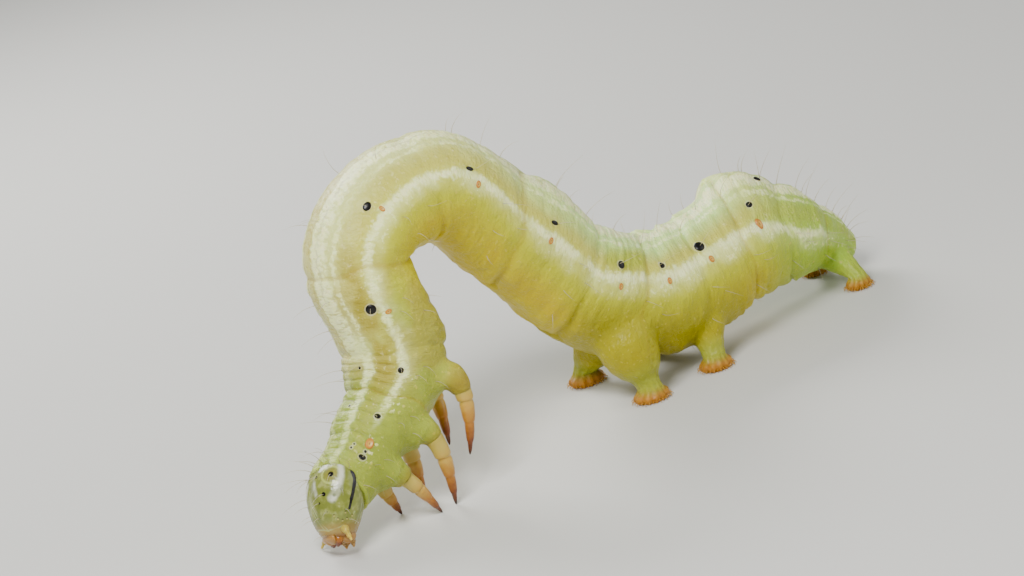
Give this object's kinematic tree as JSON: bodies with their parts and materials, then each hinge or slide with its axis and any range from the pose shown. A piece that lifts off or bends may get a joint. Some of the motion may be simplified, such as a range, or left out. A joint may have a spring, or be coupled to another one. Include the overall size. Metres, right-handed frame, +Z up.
{
  "type": "soybean looper larva",
  "caption": "Life-size still model of a soybean looper, the larva of a moth, arched mid-loop and resting on its front legs and fleshy prolegs.",
  "frame": {"origin": "middle of the footprint, on the floor under the larva", "axes": "+X along the body towards the tail, -Y towards the larva's left side, +Z up"},
  "size_m": [0.0254, 0.006, 0.0113],
  "materials": {
    "skin": "moist translucent larval skin, pale cream above and golden below",
    "head_capsule": "thin glossy head capsule, pale green-yellow with black marks",
    "claw_horn": "amber horn of the legs, jaws and feelers"
  },
  "bodies": {
    "root": {"head": "head_capsule", "antenna_left": "claw_horn", "antenna_right": "claw_horn", "prothorax": "skin", "mesothorax": "skin", "metathorax": "skin", "abdomen_1": "skin", "abdomen_2": "skin", "abdomen_3": "skin", "abdomen_4": "skin", "abdomen_5": "skin", "abdomen_6": "skin", "abdomen_7": "skin", "abdomen_8": "skin", "abdomen_9": "skin", "abdomen_10": "skin", "foreleg_left": "claw_horn", "foreleg_right": "claw_horn", "midleg_left": "claw_horn", "midleg_right": "claw_horn", "hindleg_left": "claw_horn", "hindleg_right": "claw_horn", "proleg_5_left": "skin", "proleg_5_right": "skin", "proleg_6_left": "skin", "proleg_6_right": "skin", "anal_proleg_left": "skin", "anal_proleg_right": "skin"}
  },
  "joints": []
}
